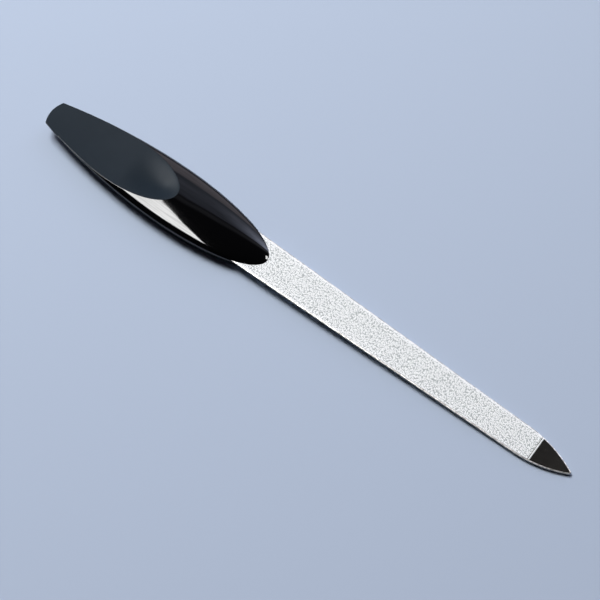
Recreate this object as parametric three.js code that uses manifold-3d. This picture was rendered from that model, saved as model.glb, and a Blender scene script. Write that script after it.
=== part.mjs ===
// Sapphire nail file: a coated steel blade held by its tang between two moulded handle shells.
// Millimetres. Built with x from the butt of the handle to the point of the blade, z = 0 on the
// blade's middle plane, and set down at the end with z = 0 under the belly of the handle.
import * as THREE from 'three';
import { mergeVertices } from 'three/addons/utils/BufferGeometryUtils.js';
import Module from 'manifold-3d';

// Overall
const LENGTH = 178;

// Handle plan: side arcs from the butt to the widest station, then half an ellipse to the nose
const WIDEST_X = 44.5;
const WIDEST_HALF = 9.23;
const SIDE_RADIUS = 183.5;
const NOSE_X = 79;
const BUTT_RADIUS = 6.9;
const BUTT_BLEND = 14; // the bowed butt line straightens out over this length

// Handle height: a long crown arc behind the thickest station, an ellipse in front of it
const THICKEST_X = 50;
const CROWN = 2.9;
const CROWN_RADIUS = 2500;

// Thumb recess in each shell, and the soft inlay that lines it
const RIM_SHARE = 0.97; // rim's place across the half width
const RECESS_TURN_X = 8; // the rim starts to close in here
const RECESS_END_X = 46.6;
const RIM_POWER = 3; // the higher, the later the rim closes in
const RECESS_CROSS_RADIUS = 150;
const BOWL_X = 40.7; // deepest station of the hollow for the thumb
const BOWL_REACH = 11.6; // its length behind that station; in front it ends at the rim
const BOWL_DEPTH = 1.28;
const GRIP_BORDER = 0.2; // bare rim left round the inlay
const SEAT_DEPTH = 0.25;
const BOND_GAP = 0.05;

// Blade
const BLADE_THICKNESS = 0.9;
const ROOT_X = 68;
const ROOT_HALF = 5.85;
const END_HALF = 4.3; // half width where the point begins
const POINT_RADIUS = 34; // side arcs of the point
const TIP_RADIUS = 0.6;

// Tang, inside the handle
const TANG_X = 44;
const TANG_HALF = 3.25;
const TANG_CORNER = 1;
const SHOULDER_X = 64;
const POST_STATIONS = [50, 60];
const TANG_HOLE_RADIUS = 1.5;
const POST_RADIUS = 1.25;
const POST_TOP = 1.3;
const POST_ROOT = 1.2; // how deep the post is rooted in its own shell
const SOCKET_RADIUS = 1.45;
const SOCKET_TOP = 1.6;
const TANG_CLEARANCE = 0.15;

// Abrasive coat on each face of the blade
const COAT_THICKNESS = 0.15;
const COAT_BORDER = 0.1;
const COAT_START_X = 68;
const COAT_END_X = 167.4;
const COAT_STEP = 9;

// Facets
const REAR_ROWS = 4;
const RIM_ROWS = 18;
const NOSE_ROWS = 14;
const FLANK_COLUMNS = 8;
const RECESS_COLUMNS = 16;
const CURVE_STEPS = 14;
const POST_SIDES = 20;
const WELD = 1e-4;

const wasm = await Module();
wasm.setup();

// Values worked out from the ones above
const BLADE_TOP = BLADE_THICKNESS / 2;
const COAT_TOP = BLADE_TOP + COAT_THICKNESS;
const POINT_REACH = Math.sqrt((POINT_RADIUS - TIP_RADIUS) ** 2 - (POINT_RADIUS - END_HALF) ** 2);
const TIP_CENTRE_X = LENGTH - TIP_RADIUS;
const POINT_X = TIP_CENTRE_X - POINT_REACH;

const plastic = { color: 0x0a0a0b, roughness: 0.08, metalness: 0 };
const softGrip = { color: 0x2d3238, roughness: 0.75, metalness: 0 };
const steel = { color: 0xb9bbbd, roughness: 0.15, metalness: 1 };
const sapphire = { color: 0xe1e4e2, roughness: 0.8, metalness: 0 };

// Quarter of an ellipse: 1 at the centre, 0 at full reach
function bow(reach) {
  return Math.sqrt(Math.max(0, 1 - reach * reach));
}

function halfWidth(x) {
  if (x > WIDEST_X) return WIDEST_HALF * bow((x - WIDEST_X) / (NOSE_X - WIDEST_X));
  return WIDEST_HALF - SIDE_RADIUS * (1 - bow((WIDEST_X - x) / SIDE_RADIUS));
}

function crownHeight(x) {
  if (x > THICKEST_X) return CROWN * bow((x - THICKEST_X) / (NOSE_X - THICKEST_X));
  return CROWN - CROWN_RADIUS * (1 - bow((THICKEST_X - x) / CROWN_RADIUS));
}

// How far the butt line has bowed forward at a share of the half width
function buttSag(share) {
  return BUTT_RADIUS * (1 - bow((share * halfWidth(0)) / BUTT_RADIUS));
}

// Rim of the thumb recess as a share of the half width; inset moves it in by millimetres
function rimShare(station, inset = 0) {
  const side = RIM_SHARE - inset / halfWidth(station);
  const reach = (station - RECESS_TURN_X) / (RECESS_END_X - inset - RECESS_TURN_X);
  const closed = Math.min(1, Math.max(0, reach)) ** RIM_POWER;
  return side * Math.sqrt(1 - closed);
}

// A station along the handle and a share across it, as x and y
function planPoint(station, share) {
  const x = station + buttSag(share) * Math.max(0, 1 - station / BUTT_BLEND);
  return { x, y: share * halfWidth(x) };
}

function domePoint(station, share) {
  const { x, y } = planPoint(station, share);
  return new THREE.Vector3(x, y, crownHeight(x) * bow(share));
}

// Depth of the hollow for the thumb, which dies out at the rim
function bowlDepth(station, share) {
  const rim = rimShare(station);
  if (rim <= 0) return 0;
  const reach = station > BOWL_X ? RECESS_END_X - BOWL_X : BOWL_REACH;
  const along = Math.max(0, 1 - ((station - BOWL_X) / reach) ** 2);
  const across = Math.max(0, 1 - (share / rim) ** 2);
  return BOWL_DEPTH * (along * across) ** 2;
}

// The dish of the recess hangs from its rim with one radius across, and the hollow lies in it
function recessPoint(station, share, drop = 0) {
  const { x, y } = planPoint(station, share);
  const rim = rimShare(station);
  const dish = (halfWidth(x) ** 2 * (rim ** 2 - share ** 2)) / (2 * RECESS_CROSS_RADIUS);
  return new THREE.Vector3(x, y, crownHeight(x) * bow(rim) - dish - bowlDepth(station, share) - drop);
}

// Stations from one x to another, bunched towards the far end as a round end needs
function roundedStations(from, to, count) {
  const quarter = Math.PI / 2;
  return Array.from({ length: count }, (_, i) => from + (to - from) * Math.sin(((i + 1) / count) * quarter));
}

function evenStations(from, to, count) {
  return Array.from({ length: count + 1 }, (_, i) => from + ((to - from) * i) / count);
}

// Closed geometry from vertices and triangles, with shared points welded and empty triangles dropped
function weldedGeometry(points, triangles) {
  const loose = new THREE.BufferGeometry();
  loose.setAttribute('position', new THREE.Float32BufferAttribute(points.flatMap((p) => [p.x, p.y, p.z]), 3));
  loose.setIndex(triangles.flat());
  return withoutSlivers(mergeVertices(loose, WELD));
}

function withoutSlivers(geometry) {
  const index = geometry.index.array;
  const kept = [];
  for (let i = 0; i < index.length; i += 3) {
    const [a, b, c] = index.slice(i, i + 3);
    if (a !== b && b !== c && a !== c) kept.push(a, b, c);
  }
  geometry.setIndex(kept);
  return geometry;
}

// Solid between two grids of points with equal rows and columns, the first lying above the second.
// Rows run along x and columns along y.
function solidBetween(upper, lower) {
  const rows = upper.length;
  const columns = upper[0].length;
  const points = [...upper.flat(), ...lower.flat()];
  const top = (r, c) => r * columns + c;
  const bottom = (r, c) => rows * columns + top(r, c);
  const triangles = [];
  const quad = (a, b, c, d) => triangles.push([a, b, c], [a, c, d]);
  for (let r = 0; r + 1 < rows; r++) {
    for (let c = 0; c + 1 < columns; c++) {
      quad(top(r, c), top(r + 1, c), top(r + 1, c + 1), top(r, c + 1));
      quad(bottom(r, c), bottom(r, c + 1), bottom(r + 1, c + 1), bottom(r + 1, c));
    }
    quad(bottom(r, 0), bottom(r + 1, 0), top(r + 1, 0), top(r, 0));
    quad(top(r, columns - 1), top(r + 1, columns - 1), bottom(r + 1, columns - 1), bottom(r, columns - 1));
  }
  for (let c = 0; c + 1 < columns; c++) {
    quad(bottom(0, c), top(0, c), top(0, c + 1), bottom(0, c + 1));
    quad(top(rows - 1, c), bottom(rows - 1, c), bottom(rows - 1, c + 1), top(rows - 1, c + 1));
  }
  return weldedGeometry(points, triangles);
}

function toManifold(geometry) {
  const bare = geometry.clone();
  bare.deleteAttribute('normal');
  bare.deleteAttribute('uv');
  const merged = withoutSlivers(mergeVertices(bare, WELD));
  return new wasm.Manifold(
    new wasm.Mesh({
      numProp: 3,
      vertProperties: Float32Array.from(merged.attributes.position.array),
      triVerts: Uint32Array.from(merged.index.array),
    }),
  );
}

function toGeometry(solid) {
  const mesh = solid.getMesh();
  const geometry = new THREE.BufferGeometry();
  geometry.setAttribute('position', new THREE.BufferAttribute(Float32Array.from(mesh.vertProperties), 3));
  geometry.setIndex(Array.from(mesh.triVerts));
  return geometry;
}

// Blade outline with the tang, its sides moved out by grow
function bladeShape(grow = 0) {
  const tang = TANG_HALF + grow;
  const root = ROOT_HALF + grow;
  const end = END_HALF + grow;
  const back = TANG_X - grow;
  const arc = POINT_RADIUS + grow;
  const sweep = Math.asin(POINT_REACH / (POINT_RADIUS - TIP_RADIUS));
  const bend = (SHOULDER_X + ROOT_X) / 2 - grow;
  const shape = new THREE.Shape();
  shape.moveTo(back + TANG_CORNER, -tang);
  shape.lineTo(SHOULDER_X - grow, -tang);
  shape.bezierCurveTo(bend, -tang, bend, -root, ROOT_X - grow, -root);
  shape.lineTo(POINT_X, -end);
  shape.absarc(POINT_X, POINT_RADIUS - END_HALF, arc, -Math.PI / 2, -Math.PI / 2 + sweep, false);
  shape.absarc(TIP_CENTRE_X, 0, TIP_RADIUS + grow, -Math.PI / 2 + sweep, Math.PI / 2 - sweep, false);
  shape.absarc(POINT_X, END_HALF - POINT_RADIUS, arc, Math.PI / 2 - sweep, Math.PI / 2, false);
  shape.lineTo(ROOT_X - grow, root);
  shape.bezierCurveTo(bend, root, bend, tang, SHOULDER_X - grow, tang);
  shape.lineTo(back + TANG_CORNER, tang);
  shape.absarc(back + TANG_CORNER, tang - TANG_CORNER, TANG_CORNER, Math.PI / 2, Math.PI, false);
  shape.absarc(back + TANG_CORNER, TANG_CORNER - tang, TANG_CORNER, Math.PI, Math.PI * 1.5, false);
  return shape;
}

function slab(shape, bottom, top) {
  const options = { depth: top - bottom, bevelEnabled: false, curveSegments: CURVE_STEPS };
  const geometry = new THREE.ExtrudeGeometry(shape, options);
  geometry.translate(0, 0, bottom);
  return geometry;
}

function roundPost(radius, station, bottom, top) {
  const post = new THREE.CylinderGeometry(radius, radius, top - bottom, POST_SIDES);
  post.rotateX(Math.PI / 2);
  post.translate(station, 0, (bottom + top) / 2);
  return post;
}

// Half width of the blade ahead of the tang
function bladeHalf(x) {
  if (x > POINT_X) return END_HALF - POINT_RADIUS * (1 - bow((x - POINT_X) / POINT_RADIUS));
  return ROOT_HALF + ((END_HALF - ROOT_HALF) * (x - ROOT_X)) / (POINT_X - ROOT_X);
}

function bladeGeometry() {
  const outline = bladeShape();
  for (const station of POST_STATIONS) {
    outline.holes.push(new THREE.Path().absarc(station, 0, TANG_HOLE_RADIUS, 0, Math.PI * 2, true));
  }
  return slab(outline, -BLADE_TOP, BLADE_TOP);
}

// A thin strip on the blade's face, out to its edges and square across before the bare point
function coatGeometry() {
  const steps = Math.round((COAT_END_X - COAT_START_X) / COAT_STEP);
  const strip = (z) =>
    evenStations(COAT_START_X, COAT_END_X, steps).map((x) =>
      [-1, 1].map((side) => new THREE.Vector3(x, side * (bladeHalf(x) - COAT_BORDER), z)),
    );
  return solidBetween(strip(COAT_TOP), strip(BLADE_TOP));
}

// Stations of the recess, round at the front
function recessStations(inset) {
  return [
    ...evenStations(inset, RECESS_TURN_X, REAR_ROWS),
    ...roundedStations(RECESS_TURN_X, RECESS_END_X - inset, RIM_ROWS),
  ];
}

// Points of one row across the recess between two equal shares, on a given surface
function recessRow(station, edge, surface) {
  return evenStations(-edge, edge, RECESS_COLUMNS).map((share) => surface(station, share));
}

// One row across the whole upper shell: flank, recess, flank
function shellRow(station) {
  const rim = station < RECESS_END_X ? rimShare(station) : 0;
  const rimAngle = Math.asin(rim);
  const flank = evenStations(Math.PI / 2, rimAngle, FLANK_COLUMNS).map((angle) => Math.sin(angle));
  const right = flank.map((share) => domePoint(station, -share));
  const middle = recessRow(station, rim, rim > 0 ? recessPoint : domePoint);
  const left = flank.map((share) => domePoint(station, share)).reverse();
  return [...right, ...middle.slice(1, -1), ...left];
}

// Moulded body of one shell, flat on the parting plane, before anything is let into it
function shellBody() {
  const stations = [...recessStations(0), ...roundedStations(RECESS_END_X, NOSE_X, NOSE_ROWS)];
  const upper = stations.map(shellRow);
  const lower = upper.map((row) => row.map((p) => new THREE.Vector3(p.x, p.y, 0)));
  return solidBetween(upper, lower);
}

// Room for the tang, and for the coated root of the blade under the nose
function bladePocket() {
  const coatedRoot = new THREE.Shape()
    .moveTo(COAT_START_X - TANG_CLEARANCE, -ROOT_HALF - TANG_CLEARANCE)
    .lineTo(LENGTH, -ROOT_HALF - TANG_CLEARANCE)
    .lineTo(LENGTH, ROOT_HALF + TANG_CLEARANCE)
    .lineTo(COAT_START_X - TANG_CLEARANCE, ROOT_HALF + TANG_CLEARANCE);
  const below = -CROWN;
  return toManifold(slab(bladeShape(TANG_CLEARANCE), below, BLADE_TOP)).add(
    toManifold(slab(coatedRoot, below, COAT_TOP)),
  );
}

// Shallow seat for the inlay, open upwards
function gripSeat() {
  const inset = GRIP_BORDER - BOND_GAP;
  const floor = (station, share) => recessPoint(station, share, SEAT_DEPTH);
  const lower = recessStations(inset).map((station) => recessRow(station, rimShare(station, inset), floor));
  const upper = lower.map((row) => row.map((p) => new THREE.Vector3(p.x, p.y, 2 * CROWN)));
  return toManifold(solidBetween(upper, lower));
}

function shellSolid() {
  return toManifold(shellBody()).subtract(bladePocket()).subtract(gripSeat());
}

// The upper shell has two blind sockets on the parting plane
function upperShellGeometry() {
  const sockets = POST_STATIONS.map((x) => toManifold(roundPost(SOCKET_RADIUS, x, -CROWN, SOCKET_TOP)));
  return toGeometry(sockets.reduce((shell, socket) => shell.subtract(socket), shellSolid()));
}

// The lower shell has the two posts that pass through the tang into those sockets
function lowerShellGeometry() {
  const posts = POST_STATIONS.map((x) => toManifold(roundPost(POST_RADIUS, x, -POST_TOP, POST_ROOT)));
  const shell = posts.reduce((body, post) => body.add(post), shellSolid());
  return toGeometry(shell).rotateX(Math.PI);
}

// Inlay flush with the rim, bonded into its seat
function gripGeometry() {
  const back = (station, share) => recessPoint(station, share, SEAT_DEPTH - BOND_GAP);
  const rows = (surface) =>
    recessStations(GRIP_BORDER).map((station) => recessRow(station, rimShare(station, GRIP_BORDER), surface));
  return solidBetween(rows(recessPoint), rows(back));
}

function piece(name, geometry, finish) {
  geometry.computeVertexNormals();
  const mesh = new THREE.Mesh(geometry, new THREE.MeshStandardMaterial(finish));
  mesh.name = name;
  return mesh;
}

const nailFile = new THREE.Group();
nailFile.add(
  piece('file_blade', bladeGeometry(), steel),
  piece('upper_sapphire_coat', coatGeometry(), sapphire),
  piece('lower_sapphire_coat', coatGeometry().rotateX(Math.PI), sapphire),
  piece('upper_handle_shell', upperShellGeometry(), plastic),
  piece('lower_handle_shell', lowerShellGeometry(), plastic),
  piece('upper_thumb_grip', gripGeometry(), softGrip),
  piece('lower_thumb_grip', gripGeometry().rotateX(Math.PI), softGrip),
);
nailFile.position.set(-LENGTH / 2, 0, CROWN);

export default nailFile;
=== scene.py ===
"""Looks of a sapphire nail file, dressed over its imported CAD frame.

A grit-coated steel blade is held by its tang between two gloss-moulded handle
shells. Each shell carries a soft-touch inlay in its thumb recess.

The pieces are sized in millimetres. Stations count from the butt of the handle,
and heights from the middle plane of the blade, where the shells part.
"""

import logging
import math
from dataclasses import dataclass
from enum import Enum

import bmesh
import bpy
import numpy as np
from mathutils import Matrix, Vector


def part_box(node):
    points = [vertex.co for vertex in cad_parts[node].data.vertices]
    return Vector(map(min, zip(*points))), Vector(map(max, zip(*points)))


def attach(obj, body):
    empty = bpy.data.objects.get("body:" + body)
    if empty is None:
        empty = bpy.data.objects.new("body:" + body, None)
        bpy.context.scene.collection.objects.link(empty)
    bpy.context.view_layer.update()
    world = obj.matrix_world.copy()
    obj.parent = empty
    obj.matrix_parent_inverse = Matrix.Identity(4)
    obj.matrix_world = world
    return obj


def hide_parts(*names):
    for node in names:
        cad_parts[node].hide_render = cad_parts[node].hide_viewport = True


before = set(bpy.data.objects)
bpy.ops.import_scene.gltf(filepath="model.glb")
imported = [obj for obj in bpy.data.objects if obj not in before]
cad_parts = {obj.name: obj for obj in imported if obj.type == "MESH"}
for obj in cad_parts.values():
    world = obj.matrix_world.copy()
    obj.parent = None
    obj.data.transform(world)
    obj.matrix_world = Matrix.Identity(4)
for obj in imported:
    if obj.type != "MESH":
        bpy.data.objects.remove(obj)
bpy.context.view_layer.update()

LOG = logging.getLogger("nail_file")
MM = 0.001
QUARTER_TURN = math.pi / 2

# Handle's butt and blade's middle plane in the frame; the file's own millimetres count from them
BUTT_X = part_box("upper_handle_shell")[0].x
MIDDLE_Z = sum(corner.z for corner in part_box("file_blade")) / 2

# Distance at which points are welded, and a guard against division by zero
WELD, TINY = 1e-7, 1e-6

# Upward part of a face's normal above which it counts as level, and below which as upright
FLAT, UPRIGHT = 0.999, 0.1

# Attribute of the coat that carries a painted highlight: 1 on its smooth rim and front lip, 0 on
# the open grit
PAINTED_HIGHLIGHT = "rim"

# Sockets of Blender's Mix node when it mixes colours
MIX_FACTOR, MIX_FIRST, MIX_SECOND, MIX_RESULT = 0, 6, 7, 2

Array = np.ndarray
Body, Material = bpy.types.Object, bpy.types.Material
Node, Socket, Tree = bpy.types.Node, bpy.types.NodeSocket, bpy.types.NodeTree
Inputs = dict[str | int, object] | tuple[object, ...]
Pair, Triple = tuple[float, float], tuple[float, float, float]


class Face(Enum):
    """Side of the blade that a piece lies on."""

    UPPER = "upper"
    LOWER = "lower"

    @property
    def turn(self) -> Array:
        """Signs that carry the upper piece to this side, half a turn about the length."""
        return np.array((1.0, 1.0, 1.0) if self is Face.UPPER else (1.0, -1.0, -1.0))


class Cut(Enum):
    """What a slab does to the body it is applied to."""

    REMOVE = "DIFFERENCE"
    JOIN = "UNION"


def linear(colour: str) -> tuple[float, float, float, float]:
    """Turn an sRGB hex colour into linear values.

    Args:
        colour: Colour written as "#rrggbb".

    Returns:
        Linear red, green and blue, and full alpha.
    """
    parts = [int(colour[i : i + 2], 16) / 255 for i in (1, 3, 5)]
    red, green, blue = (c / 12.92 if c <= 0.04045 else ((c + 0.055) / 1.055) ** 2.4 for c in parts)
    return red, green, blue, 1.0


def add_node(tree: Tree, kind: str, inputs: Inputs, **settings: object) -> Node:
    """Add a node, set its properties, and fill or link its inputs.

    Args:
        tree: Tree that gets the node.
        kind: Blender's name for the type of node, without "ShaderNode".
        inputs: Values, outputs, or nodes for their first output; by name or number, or in order.
        settings: Properties of the node itself.

    Returns:
        The new node.
    """
    node = tree.nodes.new(f"ShaderNode{kind}")
    for name, value in settings.items():
        setattr(node, name, value)
    for key, value in inputs.items() if isinstance(inputs, dict) else enumerate(inputs):
        source = value.outputs[0] if isinstance(value, Node) else value
        if isinstance(source, Socket):
            tree.links.new(source, node.inputs[key])
        else:
            node.inputs[key].default_value = source
    return node


def per_metre(size_mm: float) -> float:
    """Texture scale at which one cell of a pattern is this many millimetres wide."""
    return 1.0 / (size_mm * MM)


def blank_material(name: str) -> tuple[Material, Tree]:
    """Start a material.

    Args:
        name: Name of the material.

    Returns:
        The material and its empty node tree.
    """
    material = bpy.data.materials.new(name)
    material.use_nodes = True
    material.node_tree.nodes.clear()
    return material, material.node_tree


@dataclass(frozen=True)
class Finish:
    """A surface: what it is made of, its colour and how it takes light."""

    name: str  # the material and the way its surface was made
    colour: str  # main colour, sRGB hex

    def surface(self, tree: Tree, place: Socket) -> Inputs:
        """Lay the patterns of the finish and give the shader's inputs; each kind has its own."""
        raise NotImplementedError

    def make(self) -> Material:
        """Build the material.

        Returns:
            The material, named for the finish.
        """
        material, tree = blank_material(self.name)
        place = add_node(tree, "TexCoord", {}).outputs["Object"]
        shader = add_node(tree, "BsdfPrincipled", self.surface(tree, place))
        add_node(tree, "OutputMaterial", {"Surface": shader})
        return material


@dataclass(frozen=True)
class GlossMoulding(Finish):
    """Polystyrene moulded against a polished tool.

    The surface is a dark mirror, a little wavy from shrinkage, with faint
    lengthwise handling marks that only show inside a bright reflection.
    """

    name: str = "moulded_gloss_black_polystyrene"
    colour: str = "#050506"
    ior: float = 1.55
    wave_mm: float = 7.0
    wave_depth_mm: float = 0.004
    mark_mm: float = 0.3  # drawn coarser than real hairline marks, so that they show
    mark_detail: float = 3.0
    mark_draw: Triple = (1 / 30, 1.0, 1.0)  # drawn out lengthwise
    rough_band: Pair = (0.3, 0.75)  # noise between clean gloss and the roughest mark
    roughness: Pair = (0.03375, 0.072)
    loss_band: Pair = (0.4, 0.65)  # noise between clean gloss and the dullest mark
    mirror: Pair = (0.5, 0.38)  # 0.5 is as much as the IOR says; a mark scatters some of it

    def surface(self, tree: Tree, place: Socket) -> Inputs:
        """Lay mould waviness and fine handling marks.

        Args:
            tree: The material's nodes.
            place: The piece's own coordinates.

        Returns:
            The shader's inputs.
        """
        wave = add_node(tree, "TexNoise", {"Vector": place, "Scale": per_metre(self.wave_mm)})
        drawn_out = add_node(tree, "Mapping", {"Vector": place, "Scale": self.mark_draw})
        size = {"Scale": per_metre(self.mark_mm), "Detail": self.mark_detail}
        marks = add_node(tree, "TexNoise", {"Vector": drawn_out, **size})
        mirror = add_node(tree, "MapRange", (marks, *self.loss_band, *self.mirror))
        return {
            "Base Color": linear(self.colour),
            "Roughness": add_node(tree, "MapRange", (marks, *self.rough_band, *self.roughness)),
            "IOR": self.ior,
            "Specular IOR Level": mirror,
            "Normal": add_node(tree, "Bump", {"Height": wave, "Distance": self.wave_depth_mm * MM}),
        }


@dataclass(frozen=True)
class SoftTouch(Finish):
    """Thermoplastic elastomer moulded against a spark-eroded tool.

    The fine pits scatter light, so it looks dry and dark grey and only glows
    softly where the dish turns towards a lamp.
    """

    name: str = "spark_textured_soft_touch_elastomer"
    colour: str = "#172028"
    worn_colour: str = "#19222a"
    ior: float = 1.5
    gloss: float = 0.072  # the pits hide most of the skin's own gloss
    pit_mm: float = 0.3  # real pits are near 0.1 mm; drawn coarser, so that the grain shows
    pit_detail: float = 4.0
    pit_depth_mm: float = 0.004
    mottle_mm: float = 6.0
    mottle_detail: float = 3.0
    tone_band: Pair = (0.35, 0.7)  # noise between the fresh and the worn colour
    polish_band: Pair = (0.3, 0.7)  # noise between fresh and polished by the thumb
    roughness: Pair = (0.52, 0.48)

    def surface(self, tree: Tree, place: Socket) -> Inputs:
        """Lay pits and a faint polish left by the thumb.

        Args:
            tree: The material's nodes.
            place: The piece's own coordinates.

        Returns:
            The shader's inputs.
        """
        size = {"Scale": per_metre(self.pit_mm), "Detail": self.pit_detail}
        pits = add_node(tree, "TexNoise", {"Vector": place, **size})
        size = {"Scale": per_metre(self.mottle_mm), "Detail": self.mottle_detail}
        mottle = add_node(tree, "TexNoise", {"Vector": place, **size})
        tone = add_node(tree, "MapRange", (mottle, *self.tone_band))
        colours = {MIX_FIRST: linear(self.colour), MIX_SECOND: linear(self.worn_colour)}
        colour = add_node(tree, "Mix", {MIX_FACTOR: tone, **colours}, data_type="RGBA")
        return {
            "Base Color": colour.outputs[MIX_RESULT],
            "Roughness": add_node(tree, "MapRange", (mottle, *self.polish_band, *self.roughness)),
            "IOR": self.ior,
            "Specular IOR Level": self.gloss,
            "Normal": add_node(tree, "Bump", {"Height": pits, "Distance": self.pit_depth_mm * MM}),
        }


@dataclass(frozen=True)
class NickelPlate(Finish):
    """Spring steel, ground lengthwise, then polished and nickel plated.

    It mirrors the room, so it looks dark under a dark ceiling and flashes along
    its rounded edges. Faint grinding lines draw the reflections out.
    """

    name: str = "ground_nickel_plated_spring_steel"
    colour: str = "#c9c4bc"
    line_mm: float = 0.12
    line_draw: Triple = (1 / 30, 1.0, 1.0)  # drawn out lengthwise
    line_depth_mm: float = 0.001
    line_band: Pair = (0.3, 0.7)  # noise between polish and the deepest line
    roughness: Pair = (0.096, 0.156)

    def surface(self, tree: Tree, place: Socket) -> Inputs:
        """Lay plating over fine lengthwise lines.

        Args:
            tree: The material's nodes.
            place: The piece's own coordinates.

        Returns:
            The shader's inputs.
        """
        drawn_out = add_node(tree, "Mapping", {"Vector": place, "Scale": self.line_draw})
        lines = add_node(tree, "TexNoise", {"Vector": drawn_out, "Scale": per_metre(self.line_mm)})
        depth = self.line_depth_mm * MM
        return {
            "Base Color": linear(self.colour),
            "Metallic": 1.0,
            "Roughness": add_node(tree, "MapRange", (lines, *self.line_band, *self.roughness)),
            "Normal": add_node(tree, "Bump", {"Height": lines, "Distance": depth}),
        }


@dataclass(frozen=True)
class GroundEdge(Finish):
    """Bare spring steel whose edge was broken on a fine wheel.

    The wheel leaves a satin line that gathers light from the whole room, so it
    shines round the dark polished face, here and there duller at a wheel mark.
    """

    name: str = "wheel_ground_spring_steel"
    colour: str = "#efece7"
    dull_colour: str = "#b4b1ac"
    roughness: float = 0.4
    metallic: float = 0.7  # grinding dust in the scratches scatters the rest
    mark_mm: float = 0.9  # real wheel marks are finer; drawn coarser, so that they show
    mark_detail: float = 1.0
    mark_band: Pair = (0.42, 0.6)  # noise between bright and dull steel

    def surface(self, tree: Tree, place: Socket) -> Inputs:
        """Lay uneven wheel marks over satin steel.

        Args:
            tree: The material's nodes.
            place: The piece's own coordinates.

        Returns:
            The shader's inputs.
        """
        size = {"Scale": per_metre(self.mark_mm), "Detail": self.mark_detail}
        marks = add_node(tree, "TexNoise", {"Vector": place, **size})
        dull = add_node(tree, "MapRange", (marks, *self.mark_band))
        colours = {MIX_FIRST: linear(self.colour), MIX_SECOND: linear(self.dull_colour)}
        colour = add_node(tree, "Mix", {MIX_FACTOR: dull, **colours}, data_type="RGBA")
        return {
            "Base Color": colour.outputs[MIX_RESULT],
            "Metallic": self.metallic,
            "Roughness": self.roughness,
        }


@dataclass(frozen=True)
class BondedGrit(Finish):
    """Crushed sapphire grains held in a pale nickel bond.

    Clear grains scatter white light and turn single facets to the eye, with
    grey bond showing between them, deepened towards each grain's edge as
    painted shade in the hollows: a bright, finely speckled face. Along its
    edges the coat runs thin and smooth; the whiter rim there and on the front
    lip is a painted highlight.
    """

    name: str = "nickel_bonded_sapphire_grit"
    colour: str = "#fbfcfb"
    # Grey of the real bond, also used as painted shade in the hollows between grains
    bond_and_shade_colour: str = "#a8adac"
    roughness: Pair = (0.3, 0.75)  # of the smoothest and the roughest grain
    ior: float = 1.77
    gloss: float = 0.2  # the facets point every way, so few of them mirror a lamp to the eye
    grain_mm: float = 0.4  # real grains are near 0.12 mm; drawn coarser, so that they show
    grain_depth_mm: float = 0.06
    grain_relief: float = 0.6
    scatter: float = 0.75  # 0 would set the grains in rows
    clear_band: Pair = (0.0, 0.12)  # chance value of a grain, between lost and whole
    bond_shade_band: Pair = (0.64, 0.32)  # distance from a grain's middle, between bond with painted shade and grain

    def surface(self, tree: Tree, place: Socket) -> Inputs:
        """Lay crushed grains, the bond between them with painted shade in the hollows, and a
        painted highlight on the rim.

        Args:
            tree: The material's nodes.
            place: The piece's own coordinates.

        Returns:
            The shader's inputs.
        """
        size = {"Scale": per_metre(self.grain_mm), "Randomness": self.scatter}
        grains = add_node(tree, "TexVoronoi", {"Vector": place, **size}, voronoi_dimensions="2D")
        chance = add_node(tree, "SeparateColor", {"Color": grains.outputs["Color"]}).outputs
        clear = add_node(tree, "MapRange", (chance["Red"], *self.clear_band))
        # Painted shade: the colour turns to the bond's grey towards each grain's edge, where the
        # bump sinks
        crest = add_node(tree, "MapRange", (grains, *self.bond_shade_band))
        white = add_node(tree, "Math", (clear, crest), operation="MULTIPLY")
        # Painted highlight: the coat's rim attribute whitens its edges and lip
        rim = add_node(tree, "Attribute", {}, attribute_name=PAINTED_HIGHLIGHT).outputs["Fac"]
        share = add_node(tree, "Math", (white, rim), operation="ADD", use_clamp=True)
        colours = {MIX_FIRST: linear(self.bond_and_shade_colour), MIX_SECOND: linear(self.colour)}
        colour = add_node(tree, "Mix", {MIX_FACTOR: share, **colours}, data_type="RGBA")
        depth = {"Distance": self.grain_depth_mm * MM, "Strength": self.grain_relief}
        return {
            "Base Color": colour.outputs[MIX_RESULT],
            "Roughness": add_node(tree, "MapRange", (chance["Green"], 0.0, 1.0, *self.roughness)),
            "IOR": self.ior,
            "Specular IOR Level": self.gloss,
            "Normal": add_node(tree, "Bump", {"Height": grains, **depth}, invert=True),
        }


def bow(reach: Array) -> Array:
    """Quarter of an ellipse: 1 at the centre, 0 at full reach."""
    return np.sqrt(np.clip(1.0 - np.square(reach), 0.0, None))


def soft_minimum(first: Array, second: Array, fillet: Array) -> Array:
    """Lower of two surfaces, rounded where their heights differ by less than the fillet."""
    near = np.clip(fillet - np.abs(first - second), 0.0, None)
    return np.minimum(first, second) - near**2 / (4 * fillet)


def bunched(start: float, end: float, count: int) -> Array:
    """Stations from start to end that crowd towards the end, as a round end needs."""
    return start + (end - start) * np.sin(np.linspace(0.0, QUARTER_TURN, count))


def arc(x: float, y: float, radius: float, turn: Array) -> Array:
    """Points x and y at some turns of a circle round a centre."""
    return np.column_stack((x + radius * np.cos(turn), y + radius * np.sin(turn)))


def disc(x: float, radius: float, sides: int = 48) -> Array:
    """Outline of a round post or hole on the long axis."""
    return arc(x, 0.0, radius, np.linspace(0.0, 2 * math.pi, sides, endpoint=False))


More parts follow.
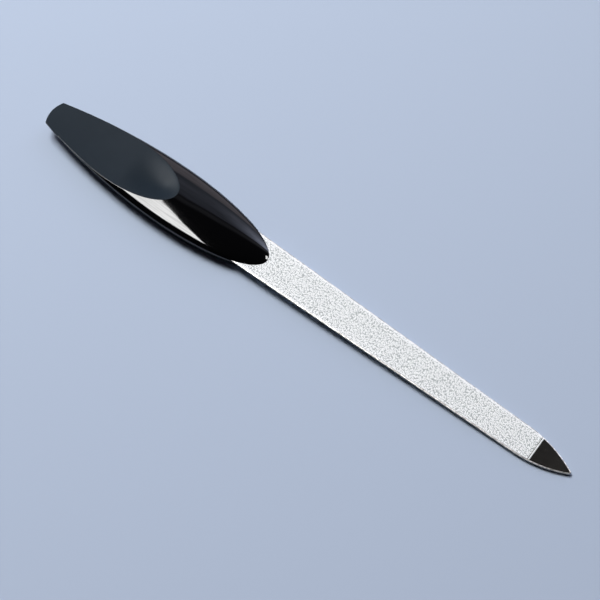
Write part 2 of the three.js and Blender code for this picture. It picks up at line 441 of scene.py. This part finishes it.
def new_body(points: Array, faces: list[list[int]], name: str = "body") -> Body:
    """Put a welded mesh with no empty faces into the scene.

    Args:
        points: Vertices.
        faces: Vertex numbers of each face, counter-clockwise from outside.
        name: Name of the object.

    Returns:
        The new object.
    """
    mesh = bpy.data.meshes.new(name)
    mesh.from_pydata(points.tolist(), [], faces)
    work = bmesh.new()
    work.from_mesh(mesh)
    bmesh.ops.remove_doubles(work, verts=work.verts, dist=WELD)
    bmesh.ops.dissolve_degenerate(work, edges=work.edges, dist=WELD)
    work.to_mesh(mesh)
    work.free()
    body = bpy.data.objects.new(name, mesh)
    bpy.context.scene.collection.objects.link(body)
    return body


def solid_between(upper: Array, lower: Array) -> Body:
    """Make a closed body between two grids of points.

    Args:
        upper: Points of the upper surface, rows along x and columns along y.
        lower: Points of the lower surface, in a grid of the same size.

    Returns:
        The body, still in the file's own millimetres.
    """
    rows, columns = upper.shape[:2]
    depth = rows * columns
    top = np.arange(depth).reshape(rows, columns)
    rear, front = top[:-1], top[1:]
    tops = np.stack((rear[:, :-1], front[:, :-1], front[:, 1:], rear[:, 1:]), -1).reshape(-1, 4)
    bottoms = tops[:, (0, 3, 2, 1)] + depth
    ring = np.concatenate((top[0, :-1], top[:-1, -1], top[-1, :0:-1], top[:0:-1, 0]))
    after = np.roll(ring, -1)
    sides = np.stack((ring, after, after + depth, ring + depth), -1)
    points = np.concatenate((upper.reshape(-1, 3), lower.reshape(-1, 3)))
    return new_body(points, np.concatenate((tops, bottoms, sides)).tolist())


def stacked(outlines: list[Array], heights: list[float]) -> Body:
    """Make a flat body from outlines stacked over each other.

    Args:
        outlines: Points x and y round the body at each height, counter-clockwise.
        heights: Height of each outline, from the lowest up.

    Returns:
        The body, still in the file's own millimetres.
    """
    count = len(outlines[0])
    last = count * (len(outlines) - 1)
    levels = [np.column_stack((line, np.full(count, z))) for line, z in zip(outlines, heights)]
    ring = np.arange(count)
    after = np.roll(ring, -1)
    around = np.stack((ring, after, after + count, ring + count), -1)
    sides = [(around + base).tolist() for base in range(0, last, count)]
    faces = [ring[::-1].tolist(), (ring + last).tolist(), *sum(sides, [])]
    return new_body(np.concatenate(levels), faces)


def apply_slab(body: Body, cut: Cut, outline: Array, bottom: float, top: float) -> None:
    """Cut a slab with upright sides out of a body, or join it on.

    Args:
        body: Object that is changed, in the file's own millimetres.
        cut: What the slab does to it.
        outline: Points x and y round the slab, counter-clockwise.
        bottom: Height of its underside.
        top: Height of its upper side.
    """
    slab = stacked([outline, outline], [bottom, top])
    step = body.modifiers.new("slab", "BOOLEAN")
    step.operation = cut.value
    step.solver = "MANIFOLD"
    step.object = slab
    view = bpy.context.evaluated_depsgraph_get()
    made = bpy.data.meshes.new_from_object(body.evaluated_get(view))
    made.materials.clear()
    body.modifiers.clear()
    body.data = made
    bpy.data.objects.remove(slab)


def set_down(piece: Body, face: Face, crease: float) -> Body:
    """Move a piece made in the file's own millimetres to its place in the frame, and shade it.

    Args:
        piece: Object whose mesh has x from the butt and z from the blade's middle plane.
        face: Side of the blade that it lies on.
        crease: Angle between faces above which their edge is shaded sharp, in degrees.

    Returns:
        The same object.
    """
    mesh = piece.data
    points = np.array([vertex.co for vertex in mesh.vertices])
    points = points * face.turn * MM + np.array((BUTT_X, 0.0, MIDDLE_Z))
    mesh.vertices.foreach_set("co", points.astype(np.float32).ravel())
    mesh.update()
    mesh.polygons.foreach_set("use_smooth", [True] * len(mesh.polygons))
    mesh.set_sharp_from_angle(angle=math.radians(crease))
    return piece


def hand_over(piece: Body, node: str, look: str, slot: str, *materials: Material) -> None:
    """Name and dress a piece, and let it stand for its CAD node and ride on the body.

    Args:
        piece: Finished piece.
        node: CAD node that it stands for.
        look: Word for its surface, which ends its name.
        slot: Material slot of the record; not used.
        materials: Its materials, the main one first.
    """
    piece.name = piece.data.name = f"{node}_{look}"
    for material in materials:
        piece.data.materials.append(material)
    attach(piece, "root")
    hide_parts(node)
    LOG.info("%s: %d faces, stands for %s", piece.name, len(piece.data.polygons), node)


@dataclass
class FileBlade:
    """Ground steel blank: tapered blade, pointed end, and the tang inside the handle."""

    tip_x: float = 178.0
    thickness: float = 0.9
    root_x: float = 68.0  # where the tang has widened to the blade
    root_half: float = 5.85
    end_half: float = 4.3  # half width where the point begins
    point_radius: float = 34.0  # side arcs of the point, closed by tip_radius
    tip_radius: float = 0.6
    tang_x: float = 44.0
    tang_half: float = 3.25
    tang_corner: float = 1.0
    shoulder_x: float = 64.0  # where the tang begins to widen
    hole_stations: Pair = (50.0, 60.0)
    hole_radius: float = 1.5
    coat_thickness: float = 0.15
    # Satin edge from the face to the side: inset and drop of each step
    edge_steps: tuple[Pair, ...] = ((0.32, 0.0), (0.2, 0.03), (0.08, 0.1), (0.0, 0.22))
    arc_steps: int = 40
    crease: float = 40.0

    @property
    def top(self) -> float:
        """Height of the bare upper face over the middle plane."""
        return self.thickness / 2

    @property
    def point_reach(self) -> float:
        """Length of the point's side arcs along the blade."""
        slant, rise = self.point_radius - self.tip_radius, self.point_radius - self.end_half
        return math.sqrt(slant**2 - rise**2)

    @property
    def point_x(self) -> float:
        """Where the point begins."""
        return self.tip_x - self.tip_radius - self.point_reach

    def half_width(self, x: Array) -> Array:
        """Half width of the blade ahead of the shoulder.

        Args:
            x: Stations along the blade.

        Returns:
            Half width at each of them.
        """
        length = self.point_x - self.root_x
        taper = self.root_half + (self.end_half - self.root_half) * (x - self.root_x) / length
        side = bow((x - self.point_x) / self.point_radius)
        return np.where(x > self.point_x, self.end_half - self.point_radius * (1 - side), taper)

    def outline(self, grow: float = 0.0) -> Array:
        """Outline of blade and tang.

        Args:
            grow: Distance that the sides are moved out.

        Returns:
            Points x and y, counter-clockwise.
        """
        steps = np.linspace(0.0, 1.0, self.arc_steps)
        corner_x = self.tang_x - grow + self.tang_corner
        corner_y = self.tang_corner - self.tang_half - grow
        corner = arc(corner_x, corner_y, self.tang_corner, math.pi * (1.0 + 0.5 * steps))
        tang, root = self.tang_half + grow, self.root_half + grow
        ease = steps**2 * (3 - 2 * steps)
        shoulder_x = self.shoulder_x - grow + (self.root_x - self.shoulder_x) * steps
        shoulder = np.column_stack((shoulder_x, -(tang + (root - tang) * ease)))
        sweep = math.asin(self.point_reach / (self.point_radius - self.tip_radius))
        side_y = self.point_radius - self.end_half
        side_turn = -QUARTER_TURN + sweep * steps
        side = arc(self.point_x, side_y, self.point_radius + grow, side_turn)
        tip_turn = -QUARTER_TURN + sweep + (QUARTER_TURN - sweep) * steps
        tip = arc(self.tip_x - self.tip_radius, 0.0, self.tip_radius + grow, tip_turn)
        near = np.concatenate((corner, shoulder, side[:-1], tip))
        return np.concatenate((near, near[-2::-1] * np.array((1.0, -1.0))))

    def build(self) -> Body:
        """Make the blank with broken edges and the tang's holes.

        Returns:
            The blade in its place, with the edges marked for their second material.
        """
        half = [self.outline(-inset) for inset, _ in self.edge_steps]
        drops = [drop for _, drop in self.edge_steps]
        heights = [drop - self.top for drop in drops] + [self.top - drop for drop in drops[::-1]]
        blade = stacked(half + half[::-1], heights)
        for x in self.hole_stations:
            hole = disc(x, self.hole_radius)
            apply_slab(blade, Cut.REMOVE, hole, -self.thickness, self.thickness)
        polygons = set_down(blade, Face.UPPER, self.crease).data.polygons
        slope = [abs(polygon.normal.z) for polygon in polygons]
        polygons.foreach_set("use_smooth", [z < FLAT for z in slope])
        polygons.foreach_set("material_index", [int(UPRIGHT < z < FLAT) for z in slope])
        return blade

    def dress(self, blade: Body, plate: Material, edge: Material) -> None:
        """Give the faces their plating and the edges their satin, and hand the blade over."""
        hand_over(blade, "file_blade", "plated", "plated_steel", plate, edge)


@dataclass
class SapphireCoat:
    """Grit on one face of the blade, from under the nose to a straight line before the point."""

    face: Face
    blade: FileBlade
    start_x: float = 68.0  # hidden under the nose
    end_x: float = 167.4
    border: float = 0.32  # satin edge of the steel left bare along each side
    lip: float = 0.42  # plain strip at the front end, set off by a groove; its white is a painted highlight
    groove: float = 0.18
    rim: float = 0.5  # width of the smooth rim along the edges, which carries a painted highlight
    grain_height: float = 0.075
    edge_round: float = 0.14  # width over which the coat thins out at its edges
    thinnest: float = 0.02
    grain_pitch: float = 0.24  # coarser than real grit, so that it shows
    line_pitch: float = 0.035  # distance between rows at the groove
    seed: int = 7
    crease: float = 60.0

    def inside(self, x: Array, y: Array) -> Array:
        """Distance of points from the sides and the front end of the coat."""
        return np.minimum(self.blade.half_width(x) - self.border - np.abs(y), self.end_x - x)

    def stations(self) -> Array:
        """Stations of the rows, a grain apart and closer at the front line.

        Returns:
            Distances from the butt.
        """
        line_start = self.end_x - 2 * (self.lip + self.groove)
        grit = np.arange(self.start_x, line_start, self.grain_pitch)
        line = np.arange(line_start, self.end_x, self.line_pitch)
        return np.concatenate((grit, line, [self.end_x]))

    def in_groove(self, x: Array) -> Array:
        """Tell which stations lie in the groove behind the lip."""
        return np.abs(x - (self.end_x - self.lip - self.groove / 2)) < self.groove / 2

    def relief(self, x: Array, inside: Array) -> Array:
        """Height of the coat's face over the steel.

        Args:
            x: Stations of the grid.
            inside: Distance of each grid point from the coat's edges.

        Returns:
            Height of each grid point.
        """
        grains = np.random.default_rng(self.seed).random(inside.shape)
        around = sum(np.roll(grains, step, axis) for step in (-1, 1) for axis in (0, 1)) / 4
        grains = np.clip(0.5 + (grains - around), 0.0, 1.0)
        grains = grains * np.clip(inside / self.rim, 0.0, 1.0) * (x < self.end_x - self.lip)
        slope = bow(np.clip(1 - inside / self.edge_round, 0.0, 1.0))
        height = (self.blade.coat_thickness - grains * self.grain_height) * slope
        return np.maximum(np.where(self.in_groove(x), 0.0, height), self.thinnest)

    def build(self) -> Body:
        """Make the coat as a thin body whose face is rough with grains.

        Returns:
            The coat in its place, with the groove marked for its second material.
        """
        x = self.stations()[:, None]
        columns = int(2 * self.blade.root_half / self.grain_pitch)
        y = (self.blade.half_width(x) - self.border) * np.linspace(-1.0, 1.0, columns)
        x = x + 0 * y
        lower = np.stack((x, y, np.full(x.shape, self.blade.top)), -1)
        upper = lower.copy()
        upper[:, :, 2] += self.relief(x, self.inside(x, y))
        coat = solid_between(upper, lower)
        # Painted highlight: the attribute whitens the coat along its edges and all over the lip
        points = np.array([vertex.co for vertex in coat.data.vertices])
        rim = np.clip(1 - self.inside(points[:, 0], points[:, 1]) / self.rim, 0.0, 1.0)
        rim[points[:, 0] > self.end_x - self.lip] = 1.0
        coat.data.attributes.new(PAINTED_HIGHLIGHT, "FLOAT", "POINT").data.foreach_set("value", rim)
        middle = np.array([polygon.center.x for polygon in coat.data.polygons])
        bare = self.in_groove(middle).astype(np.int32)
        coat.data.polygons.foreach_set("material_index", bare)
        return set_down(coat, self.face, self.crease)

    def dress(self, coat: Body, grit: Material, steel: Material) -> None:
        """Give the coat its grit and the groove its bare steel, and hand it over."""
        hand_over(coat, f"{self.face.value}_sapphire_coat", "grit", "sapphire_grit", grit, steel)


@dataclass(frozen=True)
class HandleForm:
    """Shape that both shells and both inlays share."""

    widest_x: float = 44.5
    widest_half: float = 9.23
    side_radius: float = 183.5  # arc of the sides from the butt to the widest station
    nose_x: float = 79.0  # front end, closed by half an ellipse
    butt_radius: float = 6.9  # bow of the butt line, straightened out over butt_blend
    butt_blend: float = 14.0
    thickest_x: float = 50.0
    crown: float = 2.9
    crown_radius: float = 2500.0  # arc of the crown line from the butt to the thickest station
    rim_share: float = 0.97  # place of the recess rim across the half width
    recess_turn_x: float = 8.0  # where the rim starts to close in, until recess_end_x
    recess_end_x: float = 46.6
    rim_power: float = 3.0  # how late the rim closes in
    recess_radius: float = 150.0  # radius of the dish across the handle
    bowl_x: float = 40.7  # deepest station of the thumb's hollow
    bowl_reach: float = 11.6
    bowl_depth: float = 1.28
    rim_fillet: float = 0.04  # height over which the rim is rounded, down to end_fillet in front
    end_fillet: float = 0.005
    side_lap: float = -0.05  # how far the inlay laps over the rim's crest along its sides
    end_lap: float = 0.1  # and at the round end
    butt_round: float = 0.25  # rounding of the butt's upper edge
    inlay_start: float = 0.06
    seat_depth: float = 0.25

    def swell(self, x: Array, peak_x: float, peak: float, radius: float) -> Array:
        """Line that rises on an arc to its peak, then closes at the nose on an ellipse."""
        rear = peak - radius * (1 - bow((peak_x - x) / radius))
        return np.where(x > peak_x, peak * bow((x - peak_x) / (self.nose_x - peak_x)), rear)

    def half_width(self, x: Array) -> Array:
        """Half the handle's width at x."""
        return self.swell(x, self.widest_x, self.widest_half, self.side_radius)

    def crown_height(self, x: Array) -> Array:
        """Height of the crown line over the parting plane at x."""
        return self.swell(x, self.thickest_x, self.crown, self.crown_radius)

    def plan(self, station: Array, share: Array) -> tuple[Array, Array]:
        """Place of a grid point seen from above.

        Args:
            station: Distance along the handle, before the butt line's bow.
            share: Distance across, as a share of the half width.

        Returns:
            The point's x and y.
        """
        butt_half = self.half_width(np.zeros(1))
        sag = self.butt_radius * (1 - bow(share * butt_half / self.butt_radius))
        x = station + sag * np.clip(1 - station / self.butt_blend, 0.0, None)
        return x, share * self.half_width(x)

    def rim_square(self, station: Array) -> Array:
        """Square of the rim's share; it goes below zero ahead of the recess."""
        reach = (station - self.recess_turn_x) / (self.recess_end_x - self.recess_turn_x)
        return self.rim_share**2 * (1 - np.clip(reach, 0.0, None) ** self.rim_power)

    def bowl(self, station: Array, share: Array) -> Array:
        """Depth of the thumb's hollow, which dies out at the rim.

        Args:
            station: Distances along the handle.
            share: Distances across, as shares of the half width.

        Returns:
            Depth under the plain dish.
        """
        reach = np.where(station > self.bowl_x, self.recess_end_x - self.bowl_x, self.bowl_reach)
        along = np.clip(1 - np.square((station - self.bowl_x) / reach), 0.0, None)
        rim = np.maximum(self.rim_square(station), TINY)
        across = np.clip(1 - np.square(share) / rim, 0.0, None)
        return self.bowl_depth * np.square(along * across)

    def inlay_end(self, grow: float = 0.0) -> float:
        """Front end of the inlay, or of its seat when grown by a gap."""
        return self.recess_end_x + self.end_lap + grow

    def inlay_share(self, station: Array, grow: float = 0.0) -> Array:
        """Edge of the inlay or its seat across the handle.

        Args:
            station: Stations along the handle.
            grow: Gap added round the inlay.

        Returns:
            Shares of the half width, zero ahead of the inlay.
        """
        length = self.inlay_end(grow) - self.recess_turn_x
        reach = np.clip((station - self.recess_turn_x) / length, 0.0, 1.0)
        lap = (self.side_lap + grow) / np.maximum(self.half_width(station), 1.0)
        return (self.rim_share + lap) * np.sqrt(1 - reach**self.rim_power)

    def top(self, station: Array, share: Array) -> Array:
        """Points of the finished upper surface: dome, dished recess, rounded rim and butt.

        Args:
            station: Distances along the handle.
            share: Distances across, as shares of the half width.

        Returns:
            Points x, y and z in the last axis.
        """
        station, share = np.broadcast_arrays(station, share)
        x, y = self.plan(station, share)
        crown = self.crown_height(x)
        rim = self.rim_square(station)
        sunk = (self.half_width(x) ** 2 * rim - y**2) / (2 * self.recess_radius)
        dish = crown * np.sqrt(1 - rim) - sunk - self.bowl(station, share)
        along = np.clip(rim / self.rim_share**2, 0.0, 1.0)
        fillet = self.end_fillet + (self.rim_fillet - self.end_fillet) * along
        height = soft_minimum(crown * bow(share), dish, fillet)
        butt = np.clip(1 - station / self.butt_round, 0.0, None)
        butt_drop = self.butt_round * (1 - bow(butt))
        return np.stack((x, y, np.clip(height - butt_drop, 0.0, None)), -1)


@dataclass
class HandleShell:
    """One moulded half of the handle, with its seat, blade pocket, and posts or sockets."""

    face: Face
    form: HandleForm
    blade: FileBlade
    seam: float = 0.07  # edge broken at the parting plane
    seam_limits: Pair = (0.1, 0.3)  # most that it takes of the half width and of the crown
    gap: float = 0.02  # hairline round the inlay
    clearance: float = 0.15  # room round the tang
    post_radius: float = 1.25  # posts of the lower shell, rooted inside it
    post_top: float = 1.3
    post_root: float = 1.2
    socket_radius: float = 1.45  # sockets of the upper shell
    socket_top: float = 1.6
    rim_band: float = 0.2  # width of the close columns outside the seat
    band_limit: float = 0.995  # as a share of the half width
    rows: tuple[int, ...] = (10, 14, 78, 90)  # at the butt, rear, round end and nose
    flank_columns: int = 26
    band_columns: int = 9
    seat_columns: int = 16
    crease: float = 38.0

    def stations(self) -> Array:
        """Stations of the rows, close together at the butt, round the recess end and at the nose.

        Returns:
            Distances along the handle.
        """
        form = self.form
        butt_rows, rear_rows, rim_rows, nose_rows = self.rows
        seat_end = form.inlay_end(self.gap)
        butt = form.butt_round * (1 - np.cos(np.linspace(0.0, QUARTER_TURN, butt_rows)))
        rear = np.linspace(form.butt_round, form.recess_turn_x, rear_rows)
        rim = bunched(form.recess_turn_x, seat_end, rim_rows)
        turn = np.linspace(0.0, math.pi, nose_rows)
        nose = seat_end + (form.nose_x - seat_end) * (1 - np.cos(turn)) / 2
        return np.concatenate((butt, rear, rim[1:], nose[1:]))

    def body(self) -> Body:
        """Make the moulded half with its seat, flat on the parting plane.

        Returns:
            The body, in the file's own millimetres.
        """
        form = self.form
        station = self.stations()[:, None]
        width = np.maximum(form.half_width(station), TINY)
        crown = np.maximum(form.crown_height(station), TINY)
        rim = np.sqrt(np.clip(form.rim_square(station), 0.0, None))
        seat = form.inlay_share(station, self.gap)
        band = np.minimum(np.maximum(rim, seat) + self.rim_band / width, self.band_limit)
        inset, rise = self.seam_limits
        low = np.arcsin(np.minimum(self.seam / crown, rise))
        steps = np.linspace(0.0, 1.0, self.flank_columns)
        flank = np.sin((QUARTER_TURN - low) * (1 - steps) + np.arcsin(band) * steps)
        rounding = band + (seat - band) * np.linspace(0.0, 1.0, self.band_columns)[1:]
        inner = seat * np.linspace(1.0, 0.0, self.seat_columns)
        edge = np.minimum(1 - np.minimum(self.seam / width, inset), flank[:, :1])
        half = np.concatenate((edge, flank, rounding, inner), 1)
        share = np.concatenate((-half, half[:, -2::-1]), 1)
        upper = form.top(station, share)
        upper[:, (0, -1), 2] = 0.0
        self.sink_seat(upper, station, seat)
        lower = form.top(station, np.clip(share, -edge, edge))
        lower[:, :, 2] = 0.0
        return solid_between(upper, lower)

    def sink_seat(self, upper: Array, station: Array, seat: Array) -> None:
        """Lower the columns of the seat, from the second row that it reaches.

        Args:
            upper: Grid of the upper surface, changed in place.
            station: Station of each row.
            seat: Half width of the seat in each row, as a share.
        """
        first = self.flank_columns + self.band_columns
        rows = (station[:, 0] >= self.form.inlay_start - self.gap) & (seat[:, 0] > TINY)
        rows[int(np.argmax(rows))] = False
        upper[rows, first:-first, 2] -= self.form.seat_depth

    def build(self) -> Body:
        """Make the shell and let in the blade, the posts and the sockets.

        Returns:
            The shell in its place.
        """
        shell, blade = self.body(), self.blade
        below, coat_top = -self.form.crown, blade.top + blade.coat_thickness
        apply_slab(shell, Cut.REMOVE, blade.outline(self.clearance), below, blade.top)
        half, start = blade.root_half + self.clearance, blade.root_x - self.clearance
        ends = ((start, -half), (blade.tip_x, -half), (blade.tip_x, half), (start, half))
        apply_slab(shell, Cut.REMOVE, np.array(ends), below, coat_top)
        for x in blade.hole_stations:
            if self.face is Face.UPPER:
                apply_slab(shell, Cut.REMOVE, disc(x, self.socket_radius), below, self.socket_top)
            else:
                post = disc(x, self.post_radius)
                apply_slab(shell, Cut.JOIN, post, -self.post_top, self.post_root)
        return set_down(shell, self.face, self.crease)

    def dress(self, shell: Body, gloss: Material) -> None:
        """Give the shell its gloss and hand it over."""
        hand_over(shell, f"{self.face.value}_handle_shell", "gloss", "handle_plastic", gloss)


@dataclass
class ThumbGrip:
    """Soft inlay that lines one thumb recess."""

    face: Face
    form: HandleForm
    thickness: float = 0.2
    edge_drop: float = 0.02  # how far its outer edge is rounded down
    rows: tuple[int, ...] = (8, 20, 90)  # at the butt, rear and round end
    columns: int = 41
    crease: float = 50.0

    def build(self) -> Body:
        """Make the inlay, flush with the gloss round it.

        Returns:
            The inlay in its place.
        """
        form = self.form
        butt_rows, rear_rows, rim_rows = self.rows
        butt = np.linspace(form.inlay_start, form.butt_round, butt_rows)
        rear = np.linspace(form.butt_round, form.recess_turn_x, rear_rows)
        front = bunched(form.recess_turn_x, form.inlay_end(), rim_rows)
        station = np.concatenate((butt, rear[1:], front[1:]))[:, None]
        across = np.sin(np.linspace(-QUARTER_TURN, QUARTER_TURN, self.columns))
        upper = form.top(station, form.inlay_share(station) * across)
        lower = upper - np.array((0.0, 0.0, self.thickness))
        rim = np.ones(upper.shape[:2], bool)
        rim[1:-1, 1:-1] = False
        upper[rim, 2] -= self.edge_drop
        return set_down(solid_between(upper, lower), self.face, self.crease)

    def dress(self, grip: Body, soft: Material) -> None:
        """Give the inlay its matte grain and hand it over."""
        hand_over(grip, f"{self.face.value}_thumb_grip", "soft", "soft_grip", soft)


@dataclass(frozen=True)
class Viewpoint:
    """The photograph's camera; angles in degrees, lens and sensor in mm, the rest in metres."""

    azimuth: float = 37.294
    elevation: float = 67.188
    distance: float = 0.4
    aim: Triple = (0.003537, -0.003611, 0.0029)  # point in the middle of the picture
    lens: float = 88.122
    sensor: float = 36.0
    clip_start: float = 0.01

    def direction(self, right: float, far: float, height: float) -> Vector:
        """Turn a direction given as the picture shows it into the frame.

        Args:
            right: Part towards the right of the picture.
            far: Part towards the top of the picture, along the floor.
            height: Part straight up.

        Returns:
            Unit vector in the frame.
        """
        turn = math.radians(self.azimuth)
        x = right * math.cos(turn) - far * math.sin(turn)
        y = right * math.sin(turn) + far * math.cos(turn)
        return Vector((x, y, height)).normalized()

    def place(self) -> None:
        """Set up the camera and make it the scene's own."""
        rise = math.radians(self.elevation)
        back = self.direction(0.0, -math.cos(rise), math.sin(rise))
        camera = bpy.data.objects.new("photo_camera", bpy.data.cameras.new("photo_camera"))
        camera.data.sensor_width = self.sensor
        camera.data.lens = self.lens
        camera.data.clip_start = self.clip_start
        camera.location = Vector(self.aim) + back * self.distance
        camera.rotation_euler = (-back).to_track_quat("-Z", "Y").to_euler()
        bpy.context.scene.collection.objects.link(camera)
        bpy.context.scene.camera = camera


@dataclass(frozen=True)
class SoftBox:
    """A diffused lamp with a rectangular front, kept out of the reflections."""

    name: str
    towards: Triple  # its direction as the picture shows it: right, far and height
    distance: float  # from the aim point, in metres
    size: Pair  # width and height of its front, in metres
    watts: float

    def hang(self, view: Viewpoint) -> None:
        """Hang the lamp so that it faces the file.

        Args:
            view: Camera whose picture gives the directions.
        """
        towards = view.direction(*self.towards)
        data = bpy.data.lights.new(self.name, "AREA")
        data.shape = "RECTANGLE"
        data.size, data.size_y = self.size
        data.energy = self.watts
        lamp = bpy.data.objects.new(self.name, data)
        lamp.location = Vector(view.aim) + towards * self.distance
        lamp.rotation_euler = (-towards).to_track_quat("-Z", "Y").to_euler()
        lamp.visible_glossy = False
        bpy.context.scene.collection.objects.link(lamp)


@dataclass(frozen=True)
class ReflectorPanel:
    """A bright level panel that shows in the gloss and leaves matt surfaces alone."""

    name: str
    seen_from: Triple  # point of the gloss, in metres
    corners: tuple[Pair, ...]  # directions from there as the picture shows them, right and far
    height: float = 0.65  # over that point, in metres
    strength: float = 17.0  # where 1 is white

    def hang(self, view: Viewpoint) -> None:
        """Hang the panel over the file.

        Args:
            view: Camera whose picture gives the directions.
        """
        points = []
        for right, far in self.corners:
            towards = view.direction(right, far, math.sqrt(1 - right**2 - far**2))
            points.append(Vector(self.seen_from) + towards * (self.height / towards.z))
        panel = new_body(np.array(points), [list(range(len(points)))], self.name)
        material, tree = blank_material(self.name)
        glow = add_node(tree, "Emission", {"Strength": self.strength})
        add_node(tree, "OutputMaterial", {"Surface": glow})
        panel.data.materials.append(material)
        panel.visible_camera = panel.visible_diffuse = panel.visible_shadow = False


# White ceiling panels: one lies along the near flank of the gloss, one in the tip of the nose
SIDE_PANEL = ReflectorPanel(
    "side_panel",
    (-0.033, -0.005, 0.005),
    (
        (-0.245, 0.3), (-0.292, 0.188), (-0.334, 0.068), (-0.358, -0.03),
        (-0.395, -0.16), (-0.44, -0.3), (-0.46, -0.37), (-0.58, -0.225),
        (-0.66, -0.12), (-0.85, 0.0), (-0.85, 0.5), (-0.57, 0.5),
    ),
)
FRONT_PANEL = ReflectorPanel(
    "front_panel",
    (-0.0113, 0.0006, 0.0037),
    ((0.49, 0.08), (0.64, 0.08), (0.64, 0.27), (0.49, 0.27)),
)


@dataclass(frozen=True)
class Studio:
    """Pale floor, soft lamp and a dim room round the file; sizes are in metres."""

    view: Viewpoint = Viewpoint()
    floor_colour: str = "#b2bed0"
    floor_roughness: float = 0.9
    floor_size: float = 6.0
    rest: Pair = (-0.039, -0.000058)  # x and z of the floor under the thickest part of the handle
    slope: float = 0.0195  # rise of the floor along the file, which rests on belly and point
    # Colours of the room's far side, from overhead down, with the share of daylight each takes
    walls: tuple[tuple[float, str, float], ...] = (
        (0.39, "#121213", 0.3),
        (0.42, "#66676d", 0.3),
        (0.458, "#66676d", 0.3),
        (0.468, "#3c3d42", 0.3),
        (0.48, "#3c3d42", 0.3),
        (0.492, "#9196aa", 1.0),
        (0.55, "#989fb2", 0.95),
        (0.58, "#9fa6ba", 0.8),
        (0.62, "#a9afc4", 0.5),
        (0.66, "#b0b5ca", 0.3),
        (0.7, "#9aa3b5", 0.2),
        (0.745, "#9097a8", 0.05),
        (0.765, "#f6eefa", 0.0),
    )
    wall_skew: float = 0.06  # slant of the far side in the picture
    daylight: float = 8.0  # greatest gain of the far side towards the right
    daylight_band: Pair = (0.1, 0.6)
    skirting: float = 0.12  # share of the walls' light left at their foot
    skirting_band: Pair = (0.1, 0.24)
    lamp: SoftBox = SoftBox("window_lamp", (-0.32, 0.6, 0.73), 1.15, (0.49, 0.49), 15.5)
    panels: tuple[ReflectorPanel, ...] = (SIDE_PANEL, FRONT_PANEL)

    def lay_floor(self) -> None:
        """Lay the floor under the belly and the point."""
        far = self.floor_size / 2
        rest_x, rest_z = self.rest
        plan = ((-far, -far), (far, -far), (far, far), (-far, far))
        corners = [(x, y, rest_z + self.slope * (x - rest_x)) for x, y in plan]
        floor = new_body(np.array(corners), [[0, 1, 2, 3]], "floor")
        material, tree = blank_material("matt_paper")
        look = {"Base Color": linear(self.floor_colour), "Roughness": self.floor_roughness}
        paper = add_node(tree, "BsdfPrincipled", {**look, "Specular IOR Level": 0.0})
        add_node(tree, "OutputMaterial", {"Surface": paper})
        floor.data.materials.append(material)

    def fill_room(self) -> None:
        """Make the room dark overhead, paler on its far side, and dark again along the floor."""
        world = bpy.data.worlds.new("room")
        world.use_nodes = True
        tree = world.node_tree
        tree.nodes.clear()
        look = add_node(tree, "TexCoord", {}).outputs["Generated"]
        axes = self.view.direction(-self.wall_skew, 1.0, 0.0), self.view.direction(1.0, 0.0, 0.0)
        along = {"operation": "DOT_PRODUCT"}
        parts = [add_node(tree, "VectorMath", (look, axis), **along) for axis in axes]
        far, right = (part.outputs["Value"] for part in parts)
        paint = add_node(tree, "ValToRGB", {"Fac": far})
        stops = paint.color_ramp.elements
        stops.remove(stops[1])
        for number, (place, colour, share) in enumerate(self.walls):
            stop = stops.new(place) if number else stops[0]
            stop.position = place
            stop.color = (*linear(colour)[:3], share)
        smooth = {"interpolation_type": "SMOOTHSTEP"}
        rise = (right, *self.daylight_band, 0.0, self.daylight)
        daylight = add_node(tree, "MapRange", rise, **smooth)
        taken = paint.outputs["Alpha"]
        gain = add_node(tree, "Math", (daylight, taken, 1.0), operation="MULTIPLY_ADD")
        height = add_node(tree, "SeparateXYZ", {"Vector": look}).outputs["Z"]
        foot = (height, *self.skirting_band, self.skirting)
        skirting = add_node(tree, "MapRange", foot, **smooth)
        strength = add_node(tree, "Math", (gain, skirting), operation="MULTIPLY")
        glow = add_node(tree, "Background", {"Color": paint, "Strength": strength})
        add_node(tree, "OutputWorld", {"Surface": glow})
        bpy.context.scene.world = world

    def build(self) -> None:
        """Lay the floor, hang the lamps and set up the camera."""
        self.lay_floor()
        self.fill_room()
        self.lamp.hang(self.view)
        for panel in self.panels:
            panel.hang(self.view)
        self.view.place()
        bpy.context.scene.view_settings.view_transform = "Standard"


def main() -> None:
    """Build the file piece by piece, then the studio round it."""
    logging.basicConfig(level=logging.INFO, format="%(name)s %(message)s")
    form = HandleForm()
    blade = FileBlade()
    plate, grit = NickelPlate().make(), BondedGrit().make()
    gloss, soft = GlossMoulding().make(), SoftTouch().make()
    blade.dress(blade.build(), plate, GroundEdge().make())
    for face in Face:
        coat = SapphireCoat(face, blade)
        coat.dress(coat.build(), grit, plate)
        shell = HandleShell(face, form, blade)
        shell.dress(shell.build(), gloss)
        grip = ThumbGrip(face, form)
        grip.dress(grip.build(), soft)
    Studio().build()
    bpy.context.view_layer.update()


if __name__ == "__main__":
    main()
